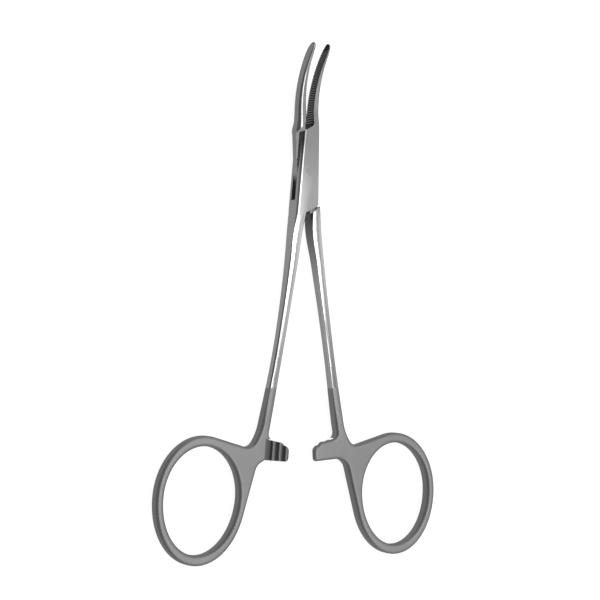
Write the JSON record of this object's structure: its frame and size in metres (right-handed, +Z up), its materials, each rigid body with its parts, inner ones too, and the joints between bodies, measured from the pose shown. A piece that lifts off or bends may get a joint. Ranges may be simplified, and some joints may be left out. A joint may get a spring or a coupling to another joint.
{
  "type": "hemostat forceps",
  "caption": "Curved locking hemostat forceps in stainless steel, with serrated jaws, a box-lock pivot, slim shanks, a ratchet and oval finger rings",
  "frame": {"origin": "centre of the bounding box's bottom, on the surface the forceps lies on", "axes": "+Y runs along the forceps from the finger rings to the jaw tips, +X to the right as seen from above, +Z up out of the flat of the forceps, the way the jaws curve"},
  "size_m": [0.077, 0.123, 0.009],
  "materials": {
    "forging_steel": "polished jaws and upper shanks, satin handles",
    "pin_steel": "polished"
  },
  "bodies": {
    "box_side": {"box_half": "forging_steel", "pivot_pin": "pin_steel"},
    "tongue_side": {"tongue_half": "forging_steel"}
  },
  "joints": [
    {"name": "box_lock_hinge", "type": "hinge", "parent": "box_side", "child": "tongue_side", "pos_m": [0, 0.03132, 0.00225], "axis": [0, 0, 1], "range_deg": [-7, 53]}
  ]
}
